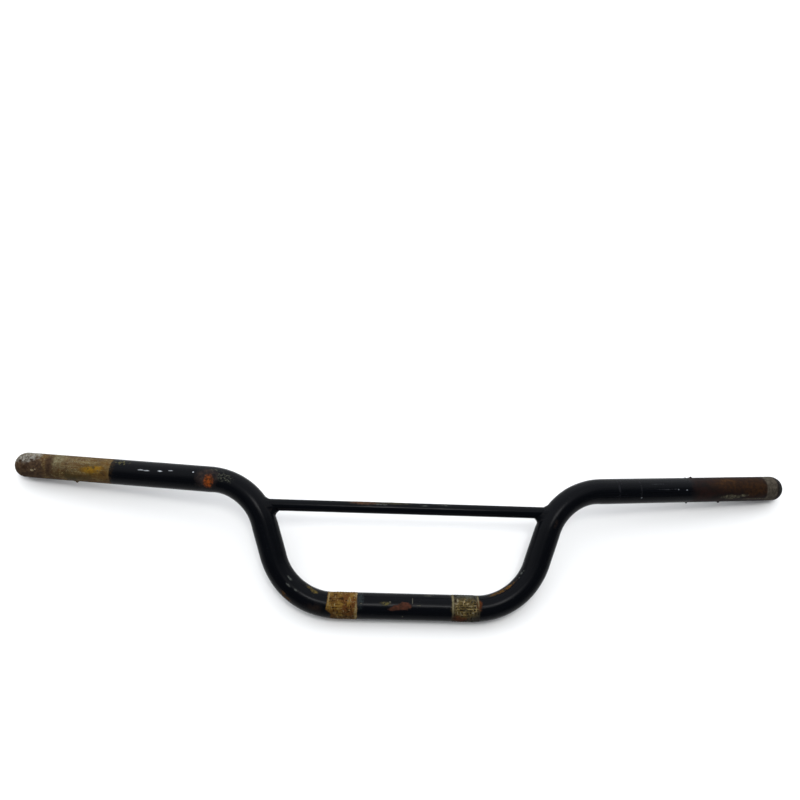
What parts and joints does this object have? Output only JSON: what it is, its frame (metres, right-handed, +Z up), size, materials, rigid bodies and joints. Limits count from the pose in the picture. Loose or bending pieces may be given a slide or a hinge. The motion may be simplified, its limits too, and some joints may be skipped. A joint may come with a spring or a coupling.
{
  "type": "riser handlebar with crossbar",
  "caption": "Bent steel riser handlebar for two-wheelers: straight knurled clamp section, two risers joined by a thin crossbar, swept-back grips with closed round ends.",
  "frame": {"origin": "on the tube's axis, midway along the clamp section", "axes": "+X along the clamp section towards one grip, +Y towards the grip ends, +Z up from the flat surface that the bar lies on"},
  "size_m": [0.7012, 0.1404, 0.053],
  "materials": {
    "painted_tube": "worn gloss black paint over steel, bare rusty steel at the grips and clamp bands",
    "painted_crossbar": "worn gloss black paint, rust along the top",
    "painted_weld": "black paint over a rippled weld bead"
  },
  "bodies": {
    "root": {"main_tube": "painted_tube", "crossbar": "painted_crossbar", "weld_left": "painted_weld", "weld_right": "painted_weld"}
  },
  "joints": []
}
